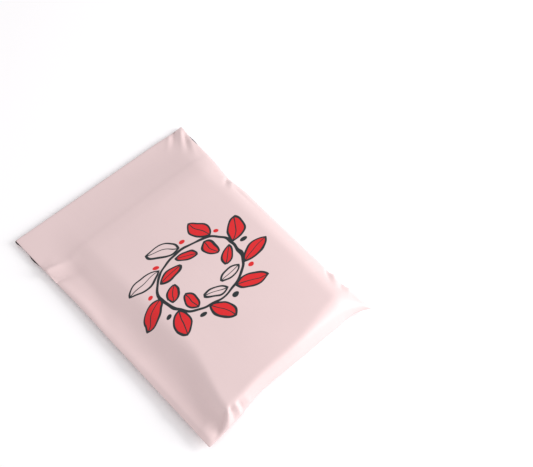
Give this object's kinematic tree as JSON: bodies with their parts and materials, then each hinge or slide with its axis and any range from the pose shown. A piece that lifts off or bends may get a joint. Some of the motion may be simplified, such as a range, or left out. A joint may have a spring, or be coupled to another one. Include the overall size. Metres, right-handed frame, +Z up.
{
  "type": "poly mailer bag",
  "caption": "Filled, sealed plastic mailing bag lying flat: thick at the bottom fold, tapering to a folded and stuck-down flap, with flat pressed side seams.",
  "frame": {"origin": "under the middle of the filled bag, on the surface it lies on", "axes": "+Z up through the front panel, +Y towards the flap fold, +X to the right-hand side seam as the front is read"},
  "size_m": [0.233, 0.324, 0.0285],
  "materials": {
    "pink_film": "satin pale pink polyethylene film"
  },
  "bodies": {
    "root": {"mailer_body": "pink_film"}
  },
  "joints": []
}
